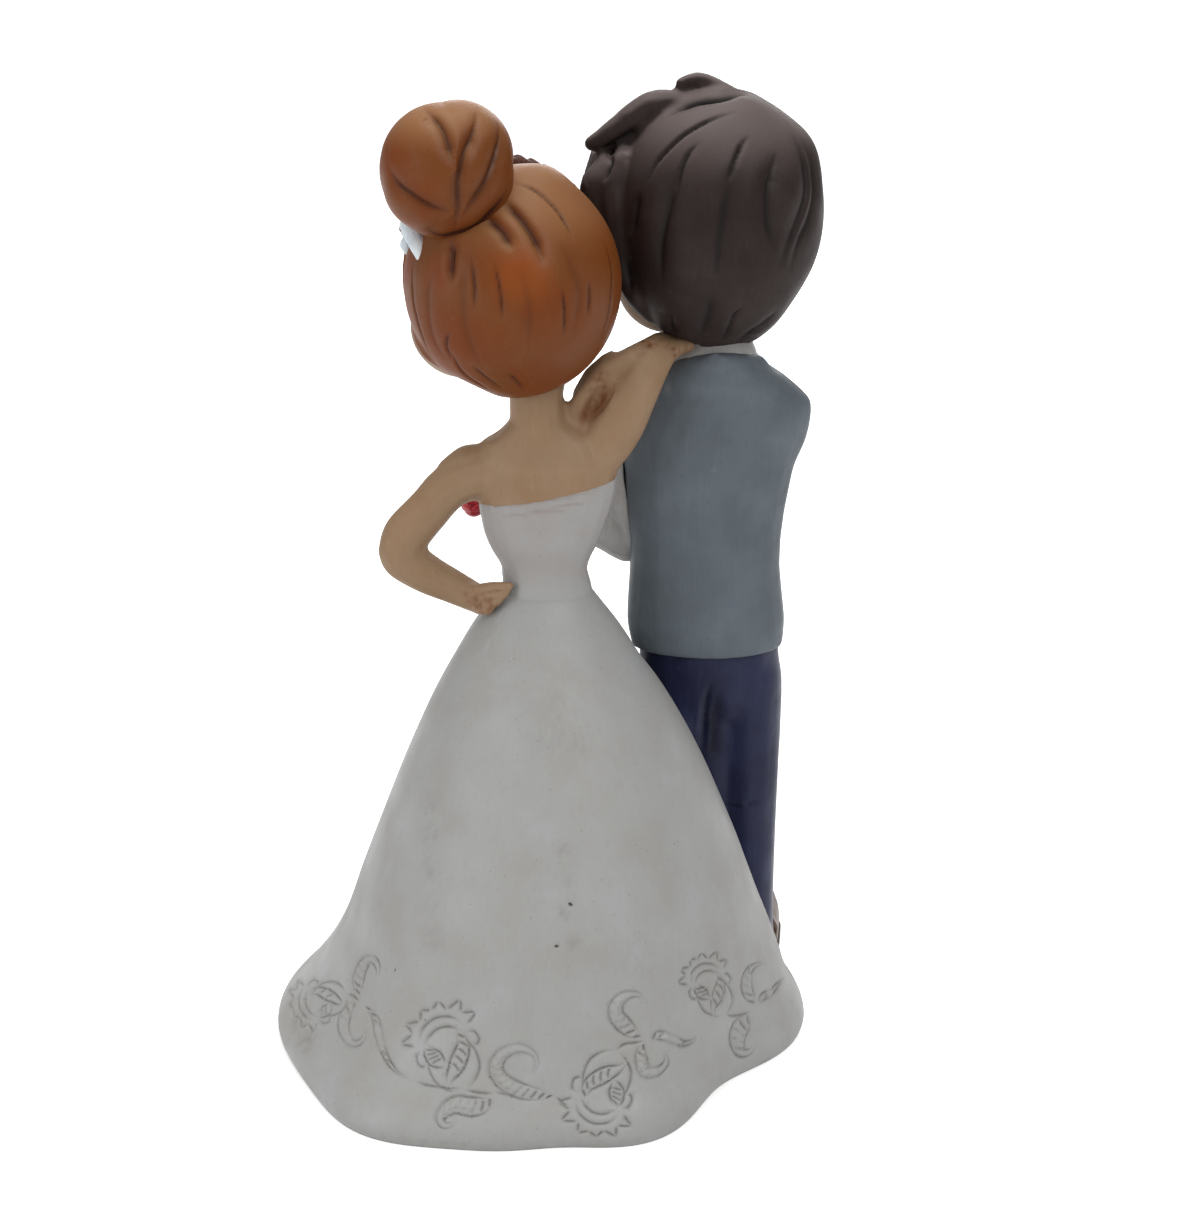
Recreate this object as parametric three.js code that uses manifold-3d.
// Wedding cake topper: a bride and a groom side by side, cast in resin and painted.
// Millimetres, +Z up. The couple looks along +Y, the groom stands on the +X side.
// The origin is under the middle of the group, on the surface that it stands on.
import * as THREE from 'three';
import Module from 'manifold-3d';
import { mergeVertices } from 'three/addons/utils/BufferGeometryUtils.js';

const wasm = await Module();
wasm.setup();

// Fits that every casting shares
const glueGap = 0.3;
const cutOverrun = 40;
const facetAllowance = 0.3;

// Where the groom stands, measured from the bride's axis
const groomOffsetX = 27.3;
const groomOffsetY = 16;

// Skirt
const skirtHeight = 79.5;
const hemWidth = 89;
const hemDepth = 87.6;
const waistWidth = 14;
const waistDepth = 11.4;
const hemSway = 2;
const hemFoldDepth = 3.4;

// Rows of height, flare and sideways sway from hem to waist
const skirtShares = [
  [0, 0.985, -1],
  [0.02, 1, -1],
  [0.05, 0.985, -0.9],
  [0.1, 0.915, -0.5],
  [0.17, 0.846, 0.15],
  [0.25, 0.788, 0.6],
  [0.36, 0.724, 0.88],
  [0.5, 0.612, 0.9],
  [0.64, 0.488, 0.8],
  [0.77, 0.35, 0.55],
  [0.86, 0.228, 0.2],
  [0.94, 0.104, -0.2],
  [1, 0, 0],
];

// Folds of the hem: direction in degrees, spread in degrees, depth
const hemFoldShares = [
  [-124, 27, 0.95],
  [180, 26, 0.62],
  [-4, 20, 0.7],
  [-64, 14, 0.35],
  [-38, 20, -1],
  [-88, 20, -0.1],
  [142, 20, -0.7],
  [108, 22, 0.7],
  [74, 20, -0.6],
];
const hemFoldRiseShare = 0.42;

// Bodice and upper body of the bride
const bustHeight = 28.2;
const bustWidth = 22.6;
const bustDepth = 15.4;
const bodiceEdgeHeight = 16;
const bodiceEdgeSlope = 10.8;
const bodiceThickness = 0.45;
const waistPegDiameter = 6.4;
const waistPegLength = 8;
const chestPegDiameter = 8;
const chestPegLength = 6;
const brideNeckDiameter = 9.3;
const brideNeckLength = 16;
const brideNeckShift = -1.3;
const brideChinDrop = 2.4;

// Rows of height, sideways shift, half width, back and front of the upper body
const bustShares = [
  [0, 0, 0.62, 0.74, 0.74],
  [0.1, -0.02, 0.63, 0.72, 0.76],
  [0.2, -0.03, 0.7, 0.74, 0.86],
  [0.29, -0.03, 0.79, 0.78, 0.96],
  [0.46, -0.01, 0.92, 0.84, 1.08],
  [0.62, 0, 0.985, 0.86, 1.04],
  [0.75, 0, 1, 0.82, 0.9],
  [0.85, -0.01, 0.97, 0.7, 0.76],
  [0.91, -0.03, 0.8, 0.6, 0.64],
  [0.96, -0.05, 0.58, 0.56, 0.58],
  [1, -0.057, 0.42, 0.58, 0.58],
];

// Arm on the hip
const hipUpperArm = 20.7;
const hipForearm = 17;
const hipArmThickness = 8.2;
const hipUpperArmAngle = 45.4;
const hipForearmAngle = -29.5;
const hipElbowBack = 2.2;
const handLength = 8.4;
const handWidth = 6.6;
const handThickness = 4.4;
const hipShoulderDrop = 7.2;
const hipShoulderInset = 0.2;
const elbowRound = 2.4;

// Arm round the groom's neck
const hugArmThickness = 8;
const hugShoulderInset = 4.2;
const hugShoulderDrop = 8.4;
const hugElbowSide = 2;
const hugElbowBack = 1.6;
const hugElbowRise = 4;
const hugWristSide = 2.4;
const hugWristBack = 2.2;
const hugWristRise = 4.2;
const hugLoopBow = 6.3;
const hugLoopDepth = 2;
const hugLoopThickness = 3.8;
const hugHollowDepth = 3.4;
const hugHollowThickness = 6.2;

// The forearm's loop beside the upper arm: share along the arm, share of the bow
const hugLoopShares = [
  [0.26, 0.56],
  [0.55, 1],
  [0.83, 0.96],
  [1.04, 0.64],
  [1.23, 0.3],
  [1.38, 0],
];
const hugHollowShares = [
  [0.42, 0.4],
  [0.75, 0.52],
  [1.02, 0.36],
  [1.28, 0.1],
];

// Bride's head and hair
const brideHeadWidth = 30.6;
const brideHeadDepth = 29.4;
const brideHeadHeight = 32.4;
const brideHeadShift = -5;
const brideHeadForward = 1;
const brideFaceTurn = 18;
const brideHairThickness = 1.7;
const brideLockCount = 12;
const lockGroove = 0.75;
const faceTilt = 20;
const brideHairline = 4;
const noseSize = 2.6;
const cheekAngle = 52;
const brideCheekShare = 0.23;
const bunDiameter = 19.8;
const bunLockCount = 7;
const bunGroove = 1.15;
const bunTwist = 70;
const bunSideAngle = 26;
const bunBackAngle = 22;
const bunStand = 4.3;
const hairTieThickness = 2.7;
const hairTieDiameter = 11.4;
const braidThickness = 3.4;
const braidBeadCount = 13;
const beadDipShare = 0.22;
const braidForwardAngle = 12;
const braidForwardSweep = 38;
const braidStartAngle = -64;
const braidSpan = 100;
const fringeThickness = 5;
const fringeSpan = 62;
const fringePartAngle = 8;
const fringeForwardAngle = 40;
const fringeBowAngle = 16;
const hairFlowerDiameter = 6.8;
const flowerPetalCount = 5;

// Groom's trousers and shoes
const trouserLength = 62.5;
const ankleHeight = 4.4;
const hipWidth = 24.8;
const hipDepth = 16.4;
const hipBand = 15;
const legWidth = 11.8;
const legDepth = 13.2;
const legSpread = 12.2;
const trouserShift = 1.2;
const kneeCrease = 0.7;
const hipPegDiameter = 10;
const hipPegLength = 7;
const shoeLength = 24.5;
const shoeWidth = 12.6;
const shoeHeight = 9.6;
const soleThickness = 1.8;
const shoeForward = 11;
const shoeToeOut = 4;
const shoeSpread = 16.8;

// Rows of height, half width and half depth of a leg
const legShares = [
  [0, 1.06, 1.02],
  [0.08, 1, 0.98],
  [0.36, 0.97, 0.94],
  [0.46, 0.98, 0.95],
  [0.75, 1.02, 1.02],
  [1, 1.04, 1.08],
];

// Rows of height, outline and rise of a shoe's upper
const shoeShares = [
  [0, 1, 0],
  [0.25, 0.985, 0.3],
  [0.55, 0.9, 0.62],
  [0.8, 0.66, 0.87],
  [1, 0.3, 1],
];

// Groom's vest, shirt and sleeves
const vestLength = 53.2;
const vestHemOverlap = 3.1;
const vestWidth = 29.2;
const vestDepth = 18.4;
const vestOpeningDepth = 22;
const vestOpeningWidth = 12;
const vestThickness = 0.9;
const collarDiameter = 14.6;
const collarHeight = 6.6;
const collarFlare = 1.4;
const groomNeckDiameter = 10;
const groomNeckLength = 14;
const groomChinRise = 2;
const groomNeckBack = 1.5;
const sleeveThickness = 9.4;
const groomUpperArm = 24.2;
const groomForearm = 11.2;
const shoulderDrop = 10.8;
const bowTieWidth = 11;
const bowTieHeight = 5.4;
const bowTieDepth = 3;

// Rows of height, sideways shift, half width, back and front of the vest
const vestShares = [
  [0, 0, 0.905, 0.98, 0.98],
  [0.05, 0, 0.925, 1, 1],
  [0.12, -0.02, 0.925, 1, 1.02],
  [0.28, -0.05, 0.885, 0.93, 1],
  [0.42, -0.04, 0.9, 0.92, 1],
  [0.58, -0.03, 0.98, 0.97, 1.02],
  [0.68, 0, 1, 0.99, 1],
  [0.78, 0.12, 0.96, 0.96, 0.96],
  [0.86, 0.15, 0.9, 0.94, 0.88],
  [0.93, 0.04, 0.72, 0.97, 0.8],
  [0.97, 0.02, 0.54, 0.98, 0.7],
  [1, 0, 0.4, 0.96, 0.6],
];

// Groom's head and hair
const groomHeadWidth = 30.6;
const groomHeadDepth = 30;
const groomHeadHeight = 34.6;
const groomHeadBack = 2.2;
const groomFaceTurn = 26;
const groomCheekShare = 0.3;
const groomHairThickness = 1.9;
const groomHairTop = 4.2;
const groomHairNape = 4.4;
const groomHairTaperShare = 0.1;
const groomLockCount = 11;
const groomLockGroove = 0.95;
const groomHairline = 4;
const crownTilt = 17;
const crownTurn = -40;
const quiffThickness = 9;
const tuftThickness = 6.6;
const forelockThickness = 9.6;

// Bouquet
const roseDiameter = 5.6;
const roseRingDiameter = 12;
const ringRoseCount = 6;
const rosePetalCount = 5;
const roseGroove = 0.45;
const bouquetSide = 2.9;
const bouquetBack = 0.5;
const bouquetRise = 6.2;
const bouquetHolderLength = 10;
const bouquetHolderDiameter = 4.4;
const leafLength = 6.4;
const leafWidth = 4.2;
const leafThickness = 1.4;
const bouquetLeafCount = 3;
const leafFanStart = 48;
const leafFanStep = 36;

// Paint
const paint = {
  skin: [0x91795f, 0.62],
  auburn_hair: [0x6a3e23, 0.55],
  dark_hair: [0x352c2b, 0.6],
  dress_white: [0xa7a29e, 0.6],
  vest_slate: [0x5d676b, 0.62],
  trousers_navy: [0x282c42, 0.55],
  shirt_white: [0x95938f, 0.62],
  shoe_brown: [0x4a3a33, 0.5],
  flower_red: [0xa3212b, 0.5],
  flower_white: [0xe4e8ea, 0.5],
  leaf_green: [0x4d6a43, 0.55],
};

const up = new THREE.Vector3(0, 0, 1);
const ahead = new THREE.Vector3(0, 1, 0);

// Turns a closed geometry into a solid, with its faces pointing out
function solidOf(geometry) {
  geometry.deleteAttribute('normal');
  geometry.deleteAttribute('uv');
  const closed = mergeVertices(geometry);
  const points = closed.attributes.position;
  const corners = Array.from(closed.index.array);
  const [a, b, c] = [new THREE.Vector3(), new THREE.Vector3(), new THREE.Vector3()];
  let volume = 0;
  for (let i = 0; i < corners.length; i += 3) {
    a.fromBufferAttribute(points, corners[i]);
    b.fromBufferAttribute(points, corners[i + 1]);
    c.fromBufferAttribute(points, corners[i + 2]);
    volume += a.dot(b.cross(c));
  }
  if (volume < 0) corners.reverse();
  const vertProperties = new Float32Array(points.array);
  const triVerts = new Uint32Array(corners);
  return new wasm.Manifold(new wasm.Mesh({ numProp: 3, vertProperties, triVerts }));
}

// Keeps the main body after a cut and drops the crumbs
function mainBody(solid) {
  const bodies = solid.decompose();
  return bodies.reduce((best, next) => (next.volume() > best.volume() ? next : best));
}

function cut(solid, ...tools) {
  return mainBody(tools.reduce((left, tool) => left.subtract(tool), solid));
}

function join(solid, ...others) {
  return others.reduce((sum, other) => sum.add(other), solid);
}

// Reads a table of shares smoothly
function smoothTable(rows) {
  const stations = rows.map((row) => row[0]);
  const width = rows[0].length - 1;
  const values = rows.flatMap((row) => row.slice(1));
  const curve = new THREE.CubicInterpolant(stations, values, width, new Float32Array(width));
  return (share) => Array.from(curve.evaluate(share));
}

// A body laid up in level sections; surface gives the point for a height share and a direction
function stack(surface, around, rings) {
  const geometry = new THREE.CylinderGeometry(1, 1, 1, around, rings);
  const points = geometry.attributes.position;
  for (let i = 0; i < points.count; i += 1) {
    const heightShare = points.getY(i) + 1 / 2;
    const reachShare = Math.min(Math.hypot(points.getX(i), points.getZ(i)), 1);
    const direction = Math.atan2(-points.getZ(i), points.getX(i));
    const place = surface(heightShare, direction, reachShare);
    points.setXYZ(i, place.x, place.y, place.z);
  }
  return solidOf(geometry);
}

// A round body whose locks run from pole to pole; its grid follows the locks
function ball(shape) {
  const { centre, width, depth, height, axis = up, around, rings } = shape;
  const { locks = 0, groove = 0, twist = 0, fade = 0, taper = 0 } = shape;
  const geometry = new THREE.SphereGeometry(1, around, rings);
  const turn = new THREE.Quaternion().setFromUnitVectors(ahead, axis.clone().normalize());
  const points = geometry.attributes.position;
  const place = new THREE.Vector3();
  for (let i = 0; i < points.count; i += 1) {
    const column = i % (around + 1);
    const row = Math.floor(i / (around + 1));
    const polar = (Math.PI * row) / rings;
    const reach = row % rings ? Math.sin(polar) : 0;
    const angle = (2 * Math.PI * (column % around)) / around;
    const swirl = angle + THREE.MathUtils.degToRad(twist) * (row / rings);
    place.set(reach * Math.sin(swirl), Math.cos(polar), reach * Math.cos(swirl)).applyQuaternion(turn);
    const dip = locks ? groove * (1 - Math.abs(Math.sin((locks * angle) / 2))) ** 2 : 0;
    const shown = dip * reach ** fade;
    const flare = 1 + taper * place.z;
    place.x *= flare * (width / 2 - shown);
    place.y *= depth / 2 - shown;
    place.z *= height / 2 - shown;
    place.add(centre);
    points.setXYZ(i, place.x, place.y, place.z);
  }
  return solidOf(geometry);
}

// The same round body, larger by a length all round
function grown(grow, { width, depth, height, ...shape }) {
  return ball({ width: width + 2 * grow, depth: depth + 2 * grow, height: height + 2 * grow, ...shape });
}

// A limb along a smooth path, round at both ends, with its radii at even steps
function limb(path, radii, { around = 12, steps = 12, capRings = 3, beads = 0, beadDipShare = 0 } = {}) {
  const curve = new THREE.CatmullRomCurve3(path);
  const radiusAt = smoothTable(radii.map((radius, i) => [i / (radii.length - 1), radius]));
  const frames = curve.computeFrenetFrames(steps);
  const rings = steps + 2 * capRings;
  const geometry = new THREE.SphereGeometry(1, around, rings);
  const points = geometry.attributes.position;
  for (let i = 0; i < points.count; i += 1) {
    const angle = (2 * Math.PI * (i % (around + 1))) / around;
    const row = Math.floor(i / (around + 1));
    const step = THREE.MathUtils.clamp(row - capRings, 0, steps);
    const [radius] = radiusAt(step / steps);
    const pastEnd = Math.abs(row - capRings - step) / capRings;
    const side = row < capRings ? -1 : 1;
    const bulge = beads ? 1 - beadDipShare * Math.abs(Math.cos((Math.PI * beads * step) / steps)) : 1;
    const place = curve.getPointAt(step / steps);
    place.addScaledVector(frames.tangents[step], side * radius * Math.sin((pastEnd * Math.PI) / 2));
    const reach = radius * bulge * Math.cos((pastEnd * Math.PI) / 2);
    place.addScaledVector(frames.normals[step], reach * Math.cos(angle));
    place.addScaledVector(frames.binormals[step], reach * Math.sin(angle));
    points.setXYZ(i, place.x, place.y, place.z);
  }
  return solidOf(geometry);
}

// A round peg from one point to another
function peg(from, to, diameter, around = 16) {
  const length = from.distanceTo(to);
  const geometry = new THREE.CylinderGeometry(diameter / 2, diameter / 2, length, around);
  const turn = new THREE.Quaternion().setFromUnitVectors(ahead, to.clone().sub(from).normalize());
  geometry.applyQuaternion(turn);
  geometry.translate(...from.clone().lerp(to, 1 / 2).toArray());
  return solidOf(geometry);
}

// All space on the far side of a plane through a point
function halfSpace(point, normal) {
  const geometry = new THREE.BoxGeometry(cutOverrun * 4, cutOverrun * 4, cutOverrun * 4);
  geometry.translate(0, 0, cutOverrun * 2);
  geometry.applyQuaternion(new THREE.Quaternion().setFromUnitVectors(up, normal.clone().normalize()));
  geometry.translate(point.x, point.y, point.z);
  return solidOf(geometry);
}

function spot(x, y, z) {
  return new THREE.Vector3(x, y, z);
}

function radians(degrees) {
  return THREE.MathUtils.degToRad(degrees);
}

// A cosine or sine pushed outwards, so that an oval gets fuller corners
function squared(value, power) {
  return Math.sign(value) * Math.abs(value) ** power;
}

// A level direction, in degrees from +X towards +Y
function heading(degrees) {
  return spot(Math.cos(radians(degrees)), Math.sin(radians(degrees)), 0);
}

// Skirt: a bell that flares into a wavy hem, flat underneath
function skirtForm(grow = 0) {
  const profile = smoothTable(skirtShares);
  const folds = (degrees) => hemFoldShares.reduce((sum, [at, spread, depth]) => {
    const away = THREE.MathUtils.euclideanModulo(degrees - at + 180, 360) - 180;
    return sum + depth * Math.exp(-((away / spread) ** 2));
  }, 0);
  return stack((share, direction, reach) => {
    const heightShare = share ** 1.6;
    const [flare, sway] = profile(heightShare);
    const fade = Math.max(0, 1 - heightShare / hemFoldRiseShare) ** 2;
    const fold = hemFoldDepth * fade * folds(THREE.MathUtils.radToDeg(direction));
    const halfWidth = THREE.MathUtils.lerp(waistWidth, hemWidth, flare) / 2 + grow + fold;
    const halfDepth = THREE.MathUtils.lerp(waistDepth, hemDepth, flare) / 2 + grow + fold;
    const z = THREE.MathUtils.lerp(-grow, skirtHeight + grow, heightShare);
    const x = hemSway * sway + reach * halfWidth * Math.cos(direction);
    return spot(x, reach * halfDepth * Math.sin(direction), z);
  }, 40, 11);
}

// The wells in the skirt in which the groom's legs and shoes stand
function legWells() {
  const wells = [-1, 1].map((side) => {
    return join(shoeForm(side, glueGap * 2), soleForm(side, glueGap * 2), legForm(side, glueGap));
  });
  return join(hipForm(glueGap), ...wells);
}

const waistPegTop = spot(0, 0, skirtHeight);
const waistPegFoot = spot(0, 0, skirtHeight - waistPegLength);

function brideSkirt() {
  const socketFoot = waistPegFoot.clone().addScaledVector(up, -glueGap);
  const socketTop = waistPegTop.clone().addScaledVector(up, glueGap);
  return cut(skirtForm(), legWells(), peg(socketFoot, socketTop, waistPegDiameter + 2 * glueGap));
}

// Upper body of the bride, from the waist to the shoulders
function bustForm(grow = 0) {
  const profile = smoothTable(bustShares);
  return stack((share, direction, reach) => {
    const [shift, wide, back, front] = profile(share);
    const halfWidth = (wide * bustWidth) / 2 + grow;
    const halfDepth = ((Math.sin(direction) > 0 ? front : back) * bustDepth) / 2 + grow;
    const z = skirtHeight + bustHeight * share;
    const x = shift * bustWidth + reach * halfWidth * Math.cos(direction);
    return spot(x, reach * halfDepth * Math.sin(direction), z);
  }, 20, 9);
}

const bodiceEdge = spot(0, 0, skirtHeight + bodiceEdgeHeight);
const bodiceEdgeNormal = spot(-Math.sin(radians(bodiceEdgeSlope)), 0, Math.cos(radians(bodiceEdgeSlope)));

function chestPeg(grow = 0) {
  const foot = bodiceEdge.clone().addScaledVector(up, -chestPegLength - grow);
  return peg(foot, bodiceEdge.clone().addScaledVector(up, chestPegLength), chestPegDiameter + 2 * grow);
}

function brideBodice() {
  const above = halfSpace(bodiceEdge, bodiceEdgeNormal);
  const cloth = cut(bustForm(bodiceThickness), above, chestPeg(glueGap));
  return join(cloth, peg(waistPegFoot, waistPegTop.clone().addScaledVector(up, glueGap), waistPegDiameter));
}

function brideNeck(grow = 0) {
  const top = skirtHeight + bustHeight + brideNeckLength / 2;
  const foot = spot(brideNeckShift, 0, top - brideNeckLength - grow);
  return peg(foot, spot(brideNeckShift, 0, top + grow), brideNeckDiameter + 2 * grow);
}

function brideTorso() {
  const seam = bodiceEdge.clone().addScaledVector(bodiceEdgeNormal, glueGap);
  const below = halfSpace(seam, bodiceEdgeNormal.clone().negate());
  return join(cut(bustForm(), below), brideNeck(), chestPeg());
}

// Arm on the hip, from the shoulder over the elbow to the hand on the waist
const hipShoulder = spot(-bustWidth / 2 + hipShoulderInset, 0, skirtHeight + bustHeight - hipShoulderDrop);
const hipUpper = spot(-Math.cos(radians(hipUpperArmAngle)), 0, -Math.sin(radians(hipUpperArmAngle)));
const hipFore = spot(Math.cos(radians(hipForearmAngle)), 0, Math.sin(radians(hipForearmAngle)));
const hipElbow = hipShoulder.clone().addScaledVector(hipUpper, hipUpperArm);
hipElbow.addScaledVector(ahead, -hipElbowBack);
const hipWrist = hipElbow.clone().addScaledVector(hipFore, hipForearm);
hipWrist.addScaledVector(ahead, hipElbowBack);

function brideHipArm() {
  const path = [
    hipShoulder,
    hipShoulder.clone().lerp(hipElbow, 0.55),
    hipElbow.clone().addScaledVector(hipUpper, -elbowRound),
    hipElbow.clone().addScaledVector(hipFore, elbowRound),
    hipElbow.clone().lerp(hipWrist, 0.6),
    hipWrist,
  ];
  const thicknessShares = [1.1, 1, 0.92, 0.95, 0.82, 0.68, 0.66];
  const radii = thicknessShares.map((share) => (share * hipArmThickness) / 2);
  const palm = ball({
    centre: hipWrist.clone().addScaledVector(hipFore, handLength / 4),
    width: handLength, depth: handThickness, height: handWidth, around: 8, rings: 6,
  });
  const thumbTip = hipWrist.clone().addScaledVector(hipFore, handLength / 3).addScaledVector(up, handWidth / 2);
  const thumbRadii = [handThickness / 3, handThickness / 4];
  const thumb = limb([hipWrist, thumbTip], thumbRadii, { around: 8, steps: 3, capRings: 2 });
  const arm = join(limb(path, radii, { around: 10, steps: 12, capRings: 2 }), palm, thumb);
  return cut(arm, bustForm(bodiceThickness + glueGap), skirtForm(glueGap));
}

// Bride's head
const brideHeadFoot = skirtHeight + bustHeight + brideNeckLength / 2 - brideChinDrop;
const brideHeadCentre = spot(brideHeadShift, brideHeadForward, brideHeadFoot + brideHeadHeight / 2);

// A head with round cheeks and a small nose, its face turned by some degrees from straight ahead
function headForm({ centre, width, depth, height, turn, cheekDrop }, grow = 0) {
  const skull = grown(grow, { centre, width, depth, height, around: 18, rings: 10 });
  const cheeks = [-1, 1].map((side) => {
    const cheek = centre.clone().addScaledVector(heading(90 + turn + side * cheekAngle), width * 0.26);
    cheek.addScaledVector(up, -height * cheekDrop);
    const size = { width: width * 0.52, depth: width * 0.5, height: height * 0.46 };
    return grown(grow, { centre: cheek, ...size, around: 10, rings: 6 });
  });
  const tip = centre.clone().addScaledVector(heading(90 + turn), depth / 2).addScaledVector(up, -height * 0.12);
  const nose = ball({ centre: tip, width: noseSize, depth: noseSize, height: noseSize, around: 6, rings: 4 });
  return join(skull, ...cheeks, nose);
}

function brideHeadForm(grow = 0) {
  const size = { width: brideHeadWidth, depth: brideHeadDepth, height: brideHeadHeight };
  return headForm({ centre: brideHeadCentre, ...size, turn: brideFaceTurn, cheekDrop: brideCheekShare }, grow);
}

function brideHead() {
  return cut(brideHeadForm(), brideNeck(glueGap));
}

// Bride's hair: a cap of locks that run up into the bun
const bunDirection = spot(-Math.sin(radians(bunSideAngle)), -Math.sin(radians(bunBackAngle)),
  Math.cos(radians(bunSideAngle)) * Math.cos(radians(bunBackAngle))).normalize();
const brideHairWidth = brideHeadWidth + 2 * brideHairThickness;
const brideHairDepth = brideHeadDepth + 2 * brideHairThickness + brideHeadForward * 2;
const brideHairHeight = brideHeadHeight + 2 * brideHairThickness;
const brideHairCentre = brideHeadCentre.clone().addScaledVector(ahead, -brideHeadForward);
const bunCentre = brideHairCentre.clone().addScaledVector(bunDirection, brideHairHeight / 2 + bunStand);

const brideHairSize = { width: brideHairWidth, depth: brideHairDepth, height: brideHairHeight };

function brideHairForm(grow = 0) {
  const locks = { locks: brideLockCount, groove: lockGroove, twist: 16, fade: 0.5 };
  const shape = { centre: brideHairCentre, ...brideHairSize, axis: bunDirection };
  return grown(grow, { ...shape, ...locks, around: brideLockCount * 3, rings: 10 });
}

// The plain seat that lies just outside all locks of the bride's hair
function brideHairSeat() {
  const shape = { centre: brideHairCentre, ...brideHairSize, axis: bunDirection, around: 18, rings: 11 };
  return grown(glueGap + facetAllowance, shape);
}

function faceWindow(centre, turn, hairline) {
  const look = heading(90 + turn).multiplyScalar(Math.cos(radians(faceTilt)));
  look.addScaledVector(up, -Math.sin(radians(faceTilt)));
  return halfSpace(centre.clone().addScaledVector(look, hairline), look);
}

// The seat of what lies half on the hair and half on the forehead
function brideHairCover() {
  return brideHairSeat().subtract(faceWindow(brideHairCentre, brideFaceTurn, brideHairline + glueGap));
}

function brideHairCap() {
  const open = faceWindow(brideHairCentre, brideFaceTurn, brideHairline);
  return cut(brideHairForm(), open, brideHeadForm(glueGap), brideNeck(glueGap));
}

function bunForm(grow = 0) {
  const size = { width: bunDiameter, depth: bunDiameter, height: bunDiameter * 1.06 };
  const locks = { locks: bunLockCount, groove: bunGroove, twist: bunTwist, fade: 0.35 };
  const axis = spot(-0.45, -0.5, 0.74);
  return grown(grow, { centre: bunCentre, ...size, axis, around: bunLockCount * 3, rings: 11, ...locks });
}

function hairTieForm(grow = 0) {
  const radius = hairTieThickness / 2 + grow;
  const profile = [];
  for (let i = 0; i <= 6; i += 1) {
    const angle = (2 * Math.PI * i) / 6;
    profile.push(new THREE.Vector2(hairTieDiameter / 2 + radius * Math.cos(angle), radius * Math.sin(angle)));
  }
  const ring = new THREE.LatheGeometry(profile, 14);
  const lift = brideHairHeight / 2 - hairTieThickness / 4;
  const seat = brideHairCentre.clone().addScaledVector(bunDirection, lift);
  ring.applyQuaternion(new THREE.Quaternion().setFromUnitVectors(ahead, bunDirection));
  ring.translate(seat.x, seat.y, seat.z);
  return solidOf(ring);
}

function brideBun() {
  return cut(bunForm(), brideHairSeat(), hairTieForm(glueGap));
}

function brideHairTie() {
  return cut(hairTieForm(), brideHairSeat());
}

// A point on the bride's hair, by its angle to the side and forwards
function onBrideHair(side, forward, lift) {
  const way = spot(Math.sin(radians(side)), Math.sin(radians(forward)) * Math.cos(radians(side)),
    Math.cos(radians(side)) * Math.cos(radians(forward)));
  const half = spot(brideHairWidth / 2 + lift, brideHairDepth / 2 + lift, brideHairHeight / 2 + lift);
  return brideHairCentre.clone().add(way.multiply(half));
}

function braidForm(grow = 0) {
  const path = [];
  for (let i = 0; i <= 6; i += 1) {
    const share = i / 6;
    const side = braidStartAngle + braidSpan * share;
    const forward = braidForwardAngle + braidForwardSweep * share ** 2;
    path.push(onBrideHair(side, forward, braidThickness * 0.1));
  }
  const radius = braidThickness / 2 + grow;
  const beads = { beads: braidBeadCount, beadDipShare };
  return limb(path, [radius, radius, radius], { around: 5, steps: braidBeadCount * 2, capRings: 1, ...beads });
}

function brideBraid() {
  return cut(braidForm(), brideHairSeat(), bunForm(glueGap), hairTieForm(glueGap));
}

// Fringe: two locks swept from the parting over the forehead to the temples
function fringeLock(side, grow = 0) {
  const path = [0, 1, 2, 3].map((i) => {
    const share = i / 3;
    const forward = fringeForwardAngle + fringeBowAngle * Math.sin(Math.PI * share);
    const sideAngle = side * (fringePartAngle + fringeSpan * share) - brideFaceTurn;
    return onBrideHair(sideAngle, forward, -fringeThickness * 0.3);
  });
  const radii = [0.35, 0.5, 0.46, 0.22].map((share) => share * fringeThickness + grow);
  return limb(path, radii, { around: 8, steps: 6, capRings: 2 });
}

function brideFringe(side) {
  const rest = side < 0 ? [] : [fringeLock(-1), fringeGapTool()];
  return cut(fringeLock(side), brideHeadForm(glueGap), brideHairCover(), braidForm(glueGap), ...rest);
}

function fringeGapTool() {
  const centre = onBrideHair(-brideFaceTurn - fringePartAngle, fringeForwardAngle, 0);
  const size = { width: fringeThickness, depth: fringeThickness * 2, height: fringeThickness };
  return ball({ centre, ...size, around: 10, rings: 6 });
}

// Flower tucked in on the left of the bride's head
const hairFlowerSeat = onBrideHair(-65, 2, -hairFlowerDiameter * 0.02);

function hairFlower() {
  const size = { width: hairFlowerDiameter * 0.62, depth: hairFlowerDiameter, height: hairFlowerDiameter };
  const petals = { locks: flowerPetalCount, groove: hairFlowerDiameter * 0.12, fade: 1 };
  const axis = spot(-1, 0.1, 0.2);
  const shape = { ...size, ...petals, centre: hairFlowerSeat, axis };
  const flower = ball({ ...shape, around: flowerPetalCount * 3, rings: 6 });
  return cut(flower, brideHairForm(glueGap), brideHeadForm(glueGap), braidForm(glueGap), fringeLock(-1, glueGap));
}

// Groom's trousers: two legs that meet at the hips, a crease behind each knee
const groomFoot = spot(groomOffsetX, groomOffsetY, 0);

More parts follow.
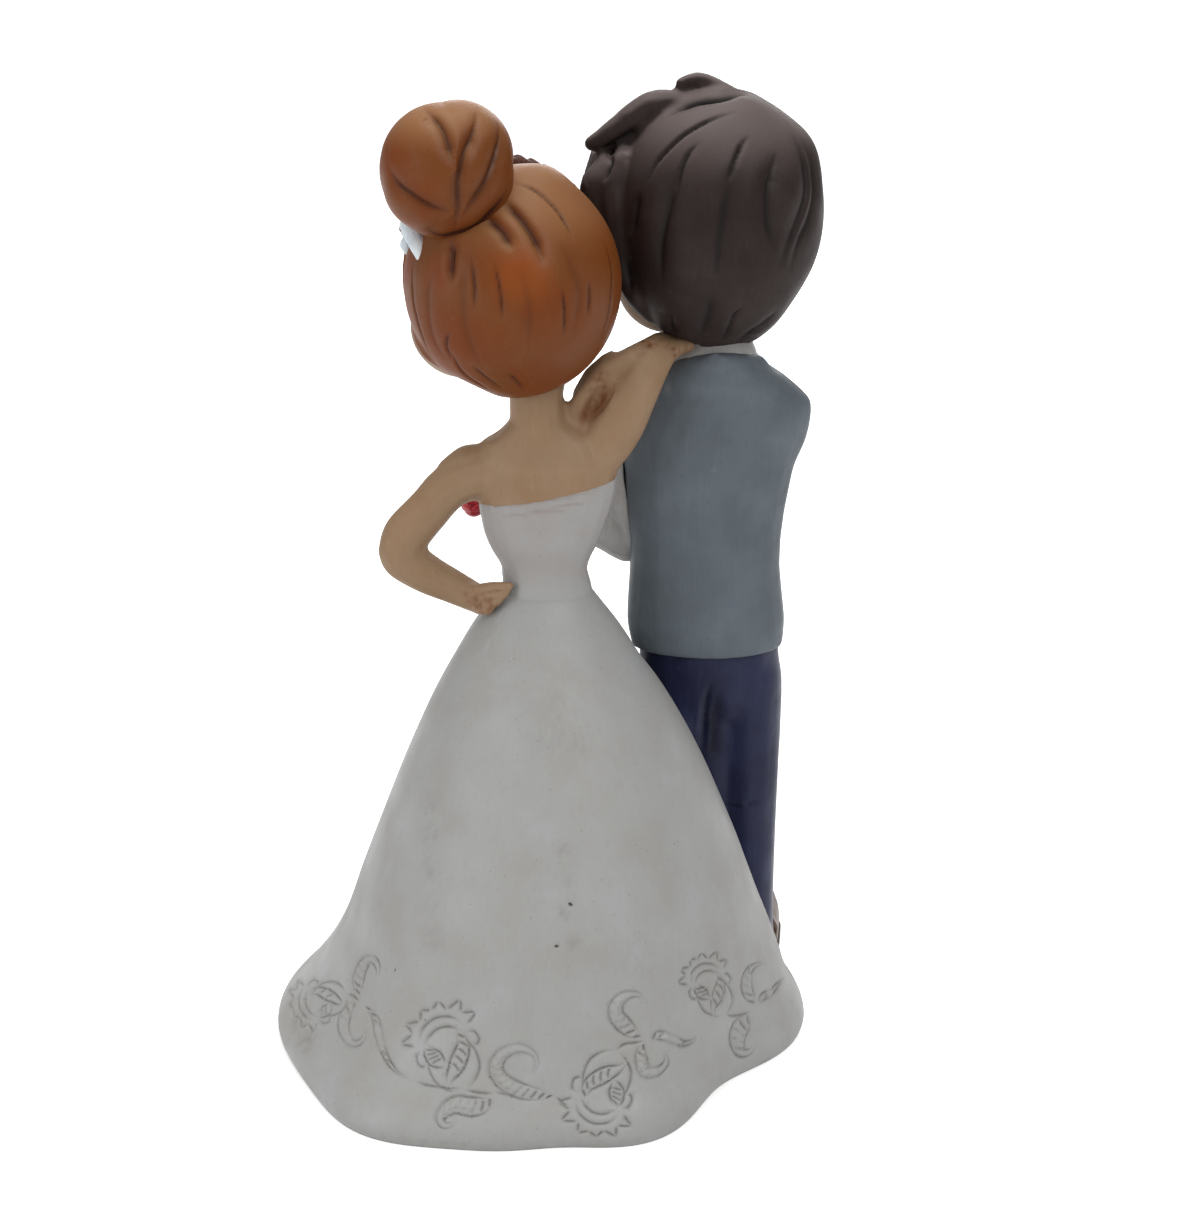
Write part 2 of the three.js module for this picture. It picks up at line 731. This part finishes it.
function legForm(side, grow = 0) {
  const shape = smoothTable(legShares);
  const length = trouserLength - hipBand / 2;
  return stack((share, direction, reach) => {
    const [wide, deep] = shape(share);
    const behind = Math.max(0, -Math.sin(direction));
    const crease = kneeCrease * behind * Math.exp(-(((share - 0.42) / 0.05) ** 2));
    const halfWidth = (wide * legWidth) / 2 + grow;
    const halfDepth = (deep * legDepth) / 2 + grow - crease;
    const x = groomFoot.x + trouserShift + (side * legSpread) / 2 + reach * halfWidth * Math.cos(direction);
    const y = groomFoot.y + reach * halfDepth * Math.sin(direction);
    return spot(x, y, THREE.MathUtils.lerp(ankleHeight - grow, ankleHeight + length + grow, share));
  }, 12, 9);
}

function hipForm(grow = 0) {
  const shape = smoothTable([[0, 0.86, 0.84], [0.3, 0.99, 0.96], [0.7, 1, 1], [1, 0.97, 0.98]]);
  const foot = ankleHeight + trouserLength - hipBand;
  return stack((share, direction, reach) => {
    const [wide, deep] = shape(share);
    const halfWidth = (wide * hipWidth) / 2 + grow;
    const halfDepth = (deep * hipDepth) / 2 + grow;
    const x = groomFoot.x + trouserShift * (1 - share) + reach * halfWidth * Math.cos(direction);
    const y = groomFoot.y + reach * halfDepth * Math.sin(direction);
    return spot(x, y, THREE.MathUtils.lerp(foot - grow, foot + hipBand + grow, share));
  }, 18, 3);
}

function hipPeg(grow = 0) {
  const top = ankleHeight + trouserLength;
  const foot = spot(groomFoot.x, groomFoot.y, top - hipPegLength);
  return peg(foot, spot(foot.x, foot.y, top + hipPegLength + grow), hipPegDiameter + 2 * grow);
}

function trouserForm(grow = 0) {
  return join(hipForm(grow), legForm(-1, grow), legForm(1, grow), hipPeg(grow));
}

function groomTrousers() {
  return trouserForm();
}

// Shoes: rounded uppers on flat soles, toes turned out a little
function shoeSpot(side) {
  return spot(groomFoot.x + trouserShift + (side * shoeSpread) / 2, groomFoot.y + shoeForward, 0);
}

function shoeOutline(side, widthGrow) {
  return (share, direction, reach) => {
    const pinch = 1 - 0.12 * Math.exp(-((Math.sin(direction) + 0.1) ** 2) * 6);
    const x = reach * (shoeWidth / 2 + widthGrow) * pinch * squared(Math.cos(direction), 0.85);
    const y = reach * (shoeLength / 2 + widthGrow) * Math.sin(direction);
    const turned = spot(x, y, 0).applyAxisAngle(up, -side * radians(shoeToeOut));
    return turned.add(shoeSpot(side));
  };
}

function shoeForm(side, grow = 0) {
  const outline = shoeOutline(side, grow);
  const rise = smoothTable(shoeShares);
  return stack((share, direction, reach) => {
    const [spread, height] = rise(share);
    const place = outline(share, direction, reach * spread);
    return place.setZ(THREE.MathUtils.lerp(soleThickness, shoeHeight + grow, height));
  }, 14, 4);
}

function shoeUpper(side) {
  return cut(shoeForm(side), legForm(side, glueGap));
}

// A flat sole, a glue gap wider than the upper
function soleForm(side, grow = 0) {
  const outline = shoeOutline(side, glueGap + grow);
  return stack((share, direction, reach) => {
    return outline(share, direction, reach).setZ(THREE.MathUtils.lerp(-grow, soleThickness + grow, share));
  }, 14, 1);
}

function shoeSole(side) {
  return soleForm(side);
}

// Groom's vest, cut open in a V over the shirt
const vestHemHeight = ankleHeight + trouserLength - vestHemOverlap;

function vestForm(grow = 0) {
  const profile = smoothTable(vestShares);
  return stack((share, direction, reach) => {
    const [shift, wide, back, front] = profile(share);
    const halfWidth = (wide * vestWidth) / 2 + grow;
    const halfDepth = ((Math.sin(direction) > 0 ? front : back) * vestDepth) / 2 + grow;
    const x = groomFoot.x + (shift * vestWidth) / 2 + reach * halfWidth * squared(Math.cos(direction), 0.86);
    const y = groomFoot.y + reach * halfDepth * squared(Math.sin(direction), 0.86);
    return spot(x, y, THREE.MathUtils.lerp(vestHemHeight - grow, vestHemHeight + vestLength + grow, share));
  }, 20, 11);
}

const vestTop = vestHemHeight + vestLength;

function vestOpening(grow = 0) {
  const outline = new THREE.Shape();
  outline.moveTo(0, vestTop - vestOpeningDepth - grow * 3);
  outline.lineTo(vestOpeningWidth / 2 + grow, vestTop + collarHeight);
  outline.lineTo(-vestOpeningWidth / 2 - grow, vestTop + collarHeight);
  outline.closePath();
  const wedge = new THREE.ExtrudeGeometry(outline, { depth: vestDepth, bevelEnabled: false });
  wedge.rotateX(Math.PI / 2);
  wedge.translate(groomFoot.x, groomFoot.y + vestDepth * 1.22 - grow, 0);
  return solidOf(wedge);
}

const collarFoot = vestTop - collarHeight * 0.72;

function collarForm(grow = 0) {
  const outer = collarDiameter / 2 + grow;
  const inner = groomNeckDiameter / 2 + glueGap - grow;
  const profile = [
    new THREE.Vector2(inner, -grow),
    new THREE.Vector2(outer, -grow),
    new THREE.Vector2(outer, collarHeight / 2),
    new THREE.Vector2(outer - collarFlare, collarHeight + grow),
    new THREE.Vector2(inner, collarHeight + grow),
    new THREE.Vector2(inner, -grow),
  ];
  const ring = new THREE.LatheGeometry(profile, 20);
  ring.rotateX(Math.PI / 2);
  ring.translate(groomFoot.x, groomFoot.y - groomNeckBack, collarFoot);
  return solidOf(ring);
}

function groomShirtForm(grow = 0) {
  return join(vestForm(grow - vestThickness).intersect(vestOpening(grow - glueGap)), collarForm(grow));
}

function groomShirt() {
  return cut(groomShirtForm(), groomNeck(glueGap), groomHeadForm(glueGap));
}

function groomVest() {
  const tools = [trouserForm(glueGap), vestOpening(), collarForm(glueGap), groomNeck(glueGap)];
  return cut(vestForm(), ...tools, groomHeadForm(glueGap));
}

// Groom's head and neck
const groomHeadFoot = vestTop + groomChinRise;
const groomHeadCentre = spot(groomFoot.x, groomFoot.y - groomHeadBack, groomHeadFoot + groomHeadHeight / 2);

function groomNeck(grow = 0) {
  const foot = spot(groomFoot.x, groomFoot.y - groomNeckBack, groomHeadFoot - groomNeckLength / 2 - grow);
  const top = foot.clone().addScaledVector(up, groomNeckLength + grow * 2);
  return peg(foot, top, groomNeckDiameter + 2 * grow);
}

function groomHeadForm(grow = 0) {
  const size = { width: groomHeadWidth, depth: groomHeadDepth, height: groomHeadHeight };
  return headForm({ centre: groomHeadCentre, ...size, turn: groomFaceTurn, cheekDrop: groomCheekShare }, grow);
}

function groomHead() {
  return join(groomHeadForm(), groomNeck());
}

// Arm round the groom's neck: an upper arm, a bent forearm beside it and a hollow between the two
const collarBackY = groomFoot.y - groomNeckBack - collarDiameter / 2;
const collarBack = spot(groomFoot.x, collarBackY, collarFoot + collarHeight / 2);
const hugShoulder = spot(bustWidth / 2 - hugShoulderInset, 0, skirtHeight + bustHeight - hugShoulderDrop);
const hugWrist = collarBack.clone().add(spot(-hugWristSide, -hugWristBack, hugWristRise));
const hugElbow = hugShoulder.clone().lerp(hugWrist, 0.55);
hugElbow.add(spot(-hugElbowSide, -hugElbowBack, hugElbowRise));

// A point beside the upper arm, by its share along the arm, its share of the bow and its depth
function besideHugArm([along, bow], depth) {
  const arm = hugElbow.clone().sub(hugShoulder);
  const outward = spot(-arm.z, 0, arm.x).normalize();
  const place = hugShoulder.clone().addScaledVector(arm, along);
  return place.addScaledVector(outward, bow * hugLoopBow).addScaledVector(ahead, depth);
}

function hugLimb(rows, depth, thickness, capRings) {
  const path = rows.map((row) => besideHugArm(row, depth));
  const radius = thickness / 2;
  return limb(path, [radius, radius, radius], { around: 6, steps: 7, capRings });
}

function brideHugArm() {
  const fingertip = hugWrist.clone().addScaledVector(heading(0), handLength / 2);
  const path = [
    hugShoulder,
    hugShoulder.clone().lerp(hugElbow, 0.55),
    hugElbow,
    hugElbow.clone().lerp(hugWrist, 0.5).addScaledVector(up, hugElbowRise / 4),
    hugWrist,
    fingertip,
  ];
  const thicknessShares = [1.2, 1.04, 0.92, 0.84, 0.72, 0.64];
  const radii = thicknessShares.map((share) => (share * hugArmThickness) / 2);
  const upperArm = limb(path, radii, { around: 9, steps: 8, capRings: 2 });
  const loop = hugLimb(hugLoopShares, hugLoopDepth, hugLoopThickness, 2);
  const hollow = hugLimb(hugHollowShares, hugLoopDepth + hugHollowDepth, hugHollowThickness, 1);
  const brideTools = [bustForm(bodiceThickness + glueGap), brideNeck(glueGap), brideHairSeat()];
  const groomTools = [vestForm(glueGap), groomShirtForm(glueGap), groomNeck(glueGap), groomHeadForm(glueGap)];
  return cut(join(upperArm, loop, hollow), ...brideTools, ...groomTools, groomHairSeat());
}

// Groom's hair: locks that fall from the crown, with a quiff, a forelock and a tuft
const groomHairCentre = groomHeadCentre.clone().addScaledVector(up, (groomHairTop - groomHairNape) / 2);
const groomHairWidth = groomHeadWidth + 2 * groomHairThickness;
const groomHairDepth = groomHeadDepth + 2 * groomHairThickness;
const groomHairHeight = groomHeadHeight + groomHairTop + groomHairNape;
const crownDirection = heading(crownTurn).multiplyScalar(Math.sin(radians(crownTilt)));
crownDirection.addScaledVector(up, Math.cos(radians(crownTilt)));
const groomHairSize = { width: groomHairWidth, depth: groomHairDepth, height: groomHairHeight };

function groomHairForm(grow = 0) {
  const locks = { locks: groomLockCount, groove: groomLockGroove, twist: 34, fade: 0.5 };
  const shape = { centre: groomHairCentre, ...groomHairSize, axis: crownDirection, taper: groomHairTaperShare };
  return grown(grow, { ...shape, ...locks, around: groomLockCount * 3, rings: 10 });
}

// The plain seat that lies just outside all locks of the groom's hair
function groomHairSeat() {
  const shape = { centre: groomHairCentre, ...groomHairSize, axis: crownDirection, around: 18, rings: 11 };
  return grown(glueGap + facetAllowance, { ...shape, taper: groomHairTaperShare });
}

// The seat of what lies half on the hair and half on the forehead
function groomHairCover() {
  return groomHairSeat().subtract(faceWindow(groomHairCentre, groomFaceTurn, groomHairline + glueGap));
}

function groomHairCap() {
  const open = faceWindow(groomHairCentre, groomFaceTurn, groomHairline);
  return cut(groomHairForm(), open, groomHeadForm(glueGap), groomNeck(glueGap), groomShirtForm(glueGap),
    vestForm(glueGap), brideHairSeat());
}

function onGroomHair(side, forward, lift) {
  const way = spot(Math.sin(radians(side)), Math.sin(radians(forward)) * Math.cos(radians(side)),
    Math.cos(radians(side)) * Math.cos(radians(forward)));
  const half = spot(groomHairWidth / 2 + lift, groomHairDepth / 2 + lift, groomHairHeight / 2 + lift);
  return groomHairCentre.clone().add(way.multiply(half));
}

function quiffForm(grow = 0) {
  const root = onGroomHair(-8, 34, -quiffThickness * 0.22);
  const tip = onGroomHair(-61, 20, quiffThickness * 0.64);
  const middle = onGroomHair(-40, 28, quiffThickness * 0.2);
  const radii = [0.42, 0.5, 0.36, 0.12].map((share) => share * quiffThickness + grow);
  return limb([root, middle, tip], radii, { around: 10, steps: 6, capRings: 2 });
}

function groomQuiff() {
  return cut(quiffForm(), groomHairCover(), groomHeadForm(glueGap), brideHairSeat(), braidForm(glueGap));
}

function forelockForm(grow = 0) {
  const path = [
    onGroomHair(-10, 46, -forelockThickness * 0.3),
    onGroomHair(-44, 34, forelockThickness * 0.1),
    onGroomHair(-90, 14, forelockThickness * 0.26),
  ];
  const radii = [0.36, 0.5, 0.5, 0.3].map((share) => share * forelockThickness + grow);
  return limb(path, radii, { around: 10, steps: 7, capRings: 2 });
}

function groomForelock() {
  const tools = [groomHairCover(), groomHeadForm(glueGap), quiffForm(glueGap)];
  return cut(forelockForm(), ...tools, brideHairSeat(), brideHeadForm(glueGap));
}

function tuftForm(grow = 0) {
  const rows = [[-31, -0.16], [-16, -0.1], [4, -0.16]];
  const path = rows.map(([side, lift]) => onGroomHair(side, -4, tuftThickness * lift));
  const radii = [0.2, 0.5, 0.34].map((share) => share * tuftThickness + grow);
  return limb(path, radii, { around: 8, steps: 6, capRings: 2 });
}

function groomTuft() {
  return cut(tuftForm(), groomHairSeat(), quiffForm(glueGap));
}

// Groom's arms
const groomShoulderHeight = vestTop - shoulderDrop;

function armPoints(side) {
  const shoulderX = groomFoot.x + side * (vestWidth / 2 - sleeveThickness * 0.3);
  const shoulder = spot(shoulderX, groomFoot.y + sleeveThickness * 0.15, groomShoulderHeight);
  const drop = side < 0 ? spot(-0.16, 0.02, -1) : spot(-0.06, 0.42, -1);
  const elbow = shoulder.clone().addScaledVector(drop.normalize(), groomUpperArm * (side < 0 ? 1 : 0.84));
  const reach = side < 0 ? spot(-0.86, 0.5, -0.1) : spot(-0.8, 0.42, 0.36);
  const wrist = elbow.clone().addScaledVector(reach.normalize(), groomForearm);
  const point = side < 0 ? spot(-0.96, -0.26, 0) : reach.clone();
  const hand = wrist.clone().addScaledVector(point.normalize(), sleeveThickness * 0.34 + handLength * 0.3);
  return { shoulder, elbow, wrist, reach, point, hand };
}

function sleeveForm(side, grow = 0) {
  const { shoulder, elbow, wrist, reach } = armPoints(side);
  const bend = sleeveThickness * 0.24;
  const path = [
    shoulder,
    shoulder.clone().lerp(elbow, 0.5),
    elbow.clone().lerp(shoulder, bend / groomUpperArm),
    elbow.clone().addScaledVector(reach, bend),
    wrist,
  ];
  const radii = [0.5, 0.5, 0.48, 0.46, 0.4, 0.34].map((share) => share * sleeveThickness + grow);
  return limb(path, radii, { around: 10, steps: 9, capRings: 2 });
}

function groomSleeve(side) {
  const groomTools = [vestForm(glueGap), groomShirtForm(glueGap), bouquetHolder(glueGap)];
  return cut(sleeveForm(side), ...groomTools, bustForm(bodiceThickness + glueGap), skirtForm(glueGap));
}

function groomHand(side) {
  const { point, hand } = armPoints(side);
  const size = { width: handLength, depth: handWidth * 0.9, height: handWidth * 0.8 };
  const palm = ball({ centre: hand, ...size, axis: point, around: 10, rings: 6 });
  const tools = side < 0 ? [bouquetHolder(glueGap)] : [];
  const body = [vestForm(glueGap), groomShirtForm(glueGap), bustForm(bodiceThickness + glueGap)];
  return cut(palm, sleeveForm(side, glueGap), ...body, ...tools);
}

// Bow tie under the collar
function bowTie() {
  const knotY = groomFoot.y - groomNeckBack + collarDiameter / 2 + bowTieDepth * 0.35;
  const knot = spot(groomFoot.x, knotY, collarFoot + collarHeight * 0.3);
  const wings = [-1, 1].map((side) => {
    const tip = knot.clone().add(spot((side * (bowTieWidth - bowTieHeight)) / 2, 0, 0));
    const radii = [bowTieHeight * 0.2, bowTieHeight * 0.36, bowTieHeight / 2];
    return limb([knot.clone(), tip], radii, { around: 8, steps: 3, capRings: 1 });
  });
  const size = { width: bowTieDepth, depth: bowTieDepth, height: bowTieHeight * 0.6 };
  const middle = ball({ centre: knot, ...size, around: 6, rings: 4 });
  const tools = [groomShirtForm(glueGap), vestForm(glueGap), groomHeadForm(glueGap), groomNeck(glueGap)];
  return cut(join(middle, ...wings), ...tools);
}

// Bouquet: a dome of roses on a wrapped handle in the groom's hand, with leaves under it
const bouquetCentre = armPoints(-1).hand.clone().add(spot(-bouquetSide, -bouquetBack, bouquetRise));

function roseSpot(index) {
  if (index === ringRoseCount) return bouquetCentre.clone().addScaledVector(up, roseDiameter * 0.62);
  return bouquetCentre.clone().addScaledVector(heading((360 * index) / ringRoseCount), roseRingDiameter / 2);
}

function roseForm(index) {
  const centre = roseSpot(index);
  const outward = centre.clone().sub(bouquetCentre).addScaledVector(up, roseRingDiameter / 2);
  const axis = index === ringRoseCount ? up : outward;
  const size = { width: roseDiameter, depth: roseDiameter, height: roseDiameter * 0.94 };
  const petals = { locks: rosePetalCount, groove: roseGroove, twist: 60, fade: 1 };
  return ball({ centre, ...size, axis, around: rosePetalCount * 2, rings: 5, ...petals });
}

// A wrapped handle that flares into a cup under the ring of roses, with a core under the middle one
function bouquetHolder(grow = 0) {
  const handle = bouquetHolderDiameter / 2 + grow;
  const cup = roseRingDiameter * 0.42 + grow;
  const core = (roseRingDiameter - roseDiameter) / 2 - glueGap * 2 + grow;
  const cupTop = -roseDiameter / 2 - glueGap * 0.5;
  const coreTop = roseDiameter * 0.62 - roseDiameter / 2 - glueGap * 0.5 + grow;
  const profile = [
    new THREE.Vector2(0, cupTop - bouquetHolderLength - grow),
    new THREE.Vector2(handle * 1.1, cupTop - bouquetHolderLength - grow),
    new THREE.Vector2(handle * 0.86, cupTop - bouquetHolderLength * 0.5),
    new THREE.Vector2(handle, cupTop - bouquetHolderLength * 0.3 - grow),
    new THREE.Vector2(cup, cupTop - bouquetHolderLength * 0.08 - grow),
    new THREE.Vector2(cup, cupTop + grow),
    new THREE.Vector2(core, cupTop + grow),
    new THREE.Vector2(core * 0.8, coreTop),
    new THREE.Vector2(0, coreTop),
  ];
  const turned = new THREE.LatheGeometry(profile, 16);
  turned.rotateX(Math.PI / 2);
  turned.translate(bouquetCentre.x, bouquetCentre.y, bouquetCentre.z);
  return solidOf(turned);
}

function leafForm(index) {
  const way = heading(leafFanStart + leafFanStep * index);
  const centre = bouquetCentre.clone().addScaledVector(way, roseRingDiameter / 2 + leafLength * 0.3);
  centre.addScaledVector(up, -roseDiameter / 2 - leafThickness);
  const geometry = new THREE.SphereGeometry(1, 8, 5);
  geometry.rotateX(Math.PI / 2);
  geometry.scale(leafLength / 2, leafWidth / 2, leafThickness / 2);
  geometry.rotateZ(Math.atan2(way.y, way.x));
  geometry.translate(centre.x, centre.y, centre.z);
  return solidOf(geometry);
}

// Puts a solid into the scene under its name, with its own place
function piece(group, name, slot, solid) {
  const mesh = solid.getMesh();
  const geometry = new THREE.BufferGeometry();
  const corners = [];
  for (const corner of mesh.triVerts) {
    const start = corner * mesh.numProp;
    corners.push(...mesh.vertProperties.slice(start, start + 3));
  }
  geometry.setAttribute('position', new THREE.Float32BufferAttribute(corners, 3));
  geometry.computeBoundingBox();
  const centre = geometry.boundingBox.getCenter(new THREE.Vector3());
  geometry.translate(-centre.x, -centre.y, -centre.z);
  geometry.computeVertexNormals();
  const [color, roughness] = paint[slot];
  const body = new THREE.Mesh(geometry, new THREE.MeshStandardMaterial({ color, roughness, metalness: 0 }));
  body.name = name;
  body.position.copy(centre);
  group.add(body);
}

const bride = new THREE.Group();
piece(bride, 'bride_skirt', 'dress_white', brideSkirt());
piece(bride, 'bride_bodice', 'dress_white', brideBodice());
piece(bride, 'bride_torso', 'skin', brideTorso());
piece(bride, 'bride_hip_arm', 'skin', brideHipArm());
piece(bride, 'bride_hug_arm', 'skin', brideHugArm());
piece(bride, 'bride_head', 'skin', brideHead());
piece(bride, 'bride_hair_cap', 'auburn_hair', brideHairCap());
piece(bride, 'bride_bun', 'auburn_hair', brideBun());
piece(bride, 'bride_hair_tie', 'auburn_hair', brideHairTie());
piece(bride, 'bride_braid', 'auburn_hair', brideBraid());
piece(bride, 'bride_fringe_left', 'auburn_hair', brideFringe(-1));
piece(bride, 'bride_fringe_right', 'auburn_hair', brideFringe(1));
piece(bride, 'hair_flower', 'flower_white', hairFlower());

const groom = new THREE.Group();
piece(groom, 'groom_trousers', 'trousers_navy', groomTrousers());
piece(groom, 'groom_vest', 'vest_slate', groomVest());
piece(groom, 'groom_shirt', 'shirt_white', groomShirt());
piece(groom, 'groom_head', 'skin', groomHead());
piece(groom, 'groom_hair_cap', 'dark_hair', groomHairCap());
piece(groom, 'groom_quiff', 'dark_hair', groomQuiff());
piece(groom, 'groom_forelock', 'dark_hair', groomForelock());
piece(groom, 'groom_hair_tuft', 'dark_hair', groomTuft());
piece(groom, 'bow_tie', 'flower_red', bowTie());
for (const [word, side] of [['left', -1], ['right', 1]]) {
  piece(groom, `groom_${word}_shoe`, 'shoe_brown', shoeUpper(side));
  piece(groom, `groom_${word}_sole`, 'shoe_brown', shoeSole(side));
  piece(groom, `groom_${word}_sleeve`, 'shirt_white', groomSleeve(side));
  piece(groom, `groom_${word}_hand`, 'skin', groomHand(side));
}

const bouquet = new THREE.Group();
piece(bouquet, 'bouquet_holder', 'leaf_green', bouquetHolder());
for (let index = 0; index <= ringRoseCount; index += 1) {
  piece(bouquet, `rose_${index + 1}`, index % 2 ? 'flower_red' : 'flower_white', roseForm(index));
}
for (let index = 0; index < bouquetLeafCount; index += 1) {
  piece(bouquet, `bouquet_leaf_${index + 1}`, 'leaf_green', cut(leafForm(index), bouquetHolder(glueGap)));
}

const topper = new THREE.Group();
topper.add(bride, groom, bouquet);
const extent = new THREE.Box3().setFromObject(topper);
const middle = extent.getCenter(new THREE.Vector3());
topper.position.set(-middle.x, -middle.y, -extent.min.z);

export default topper;
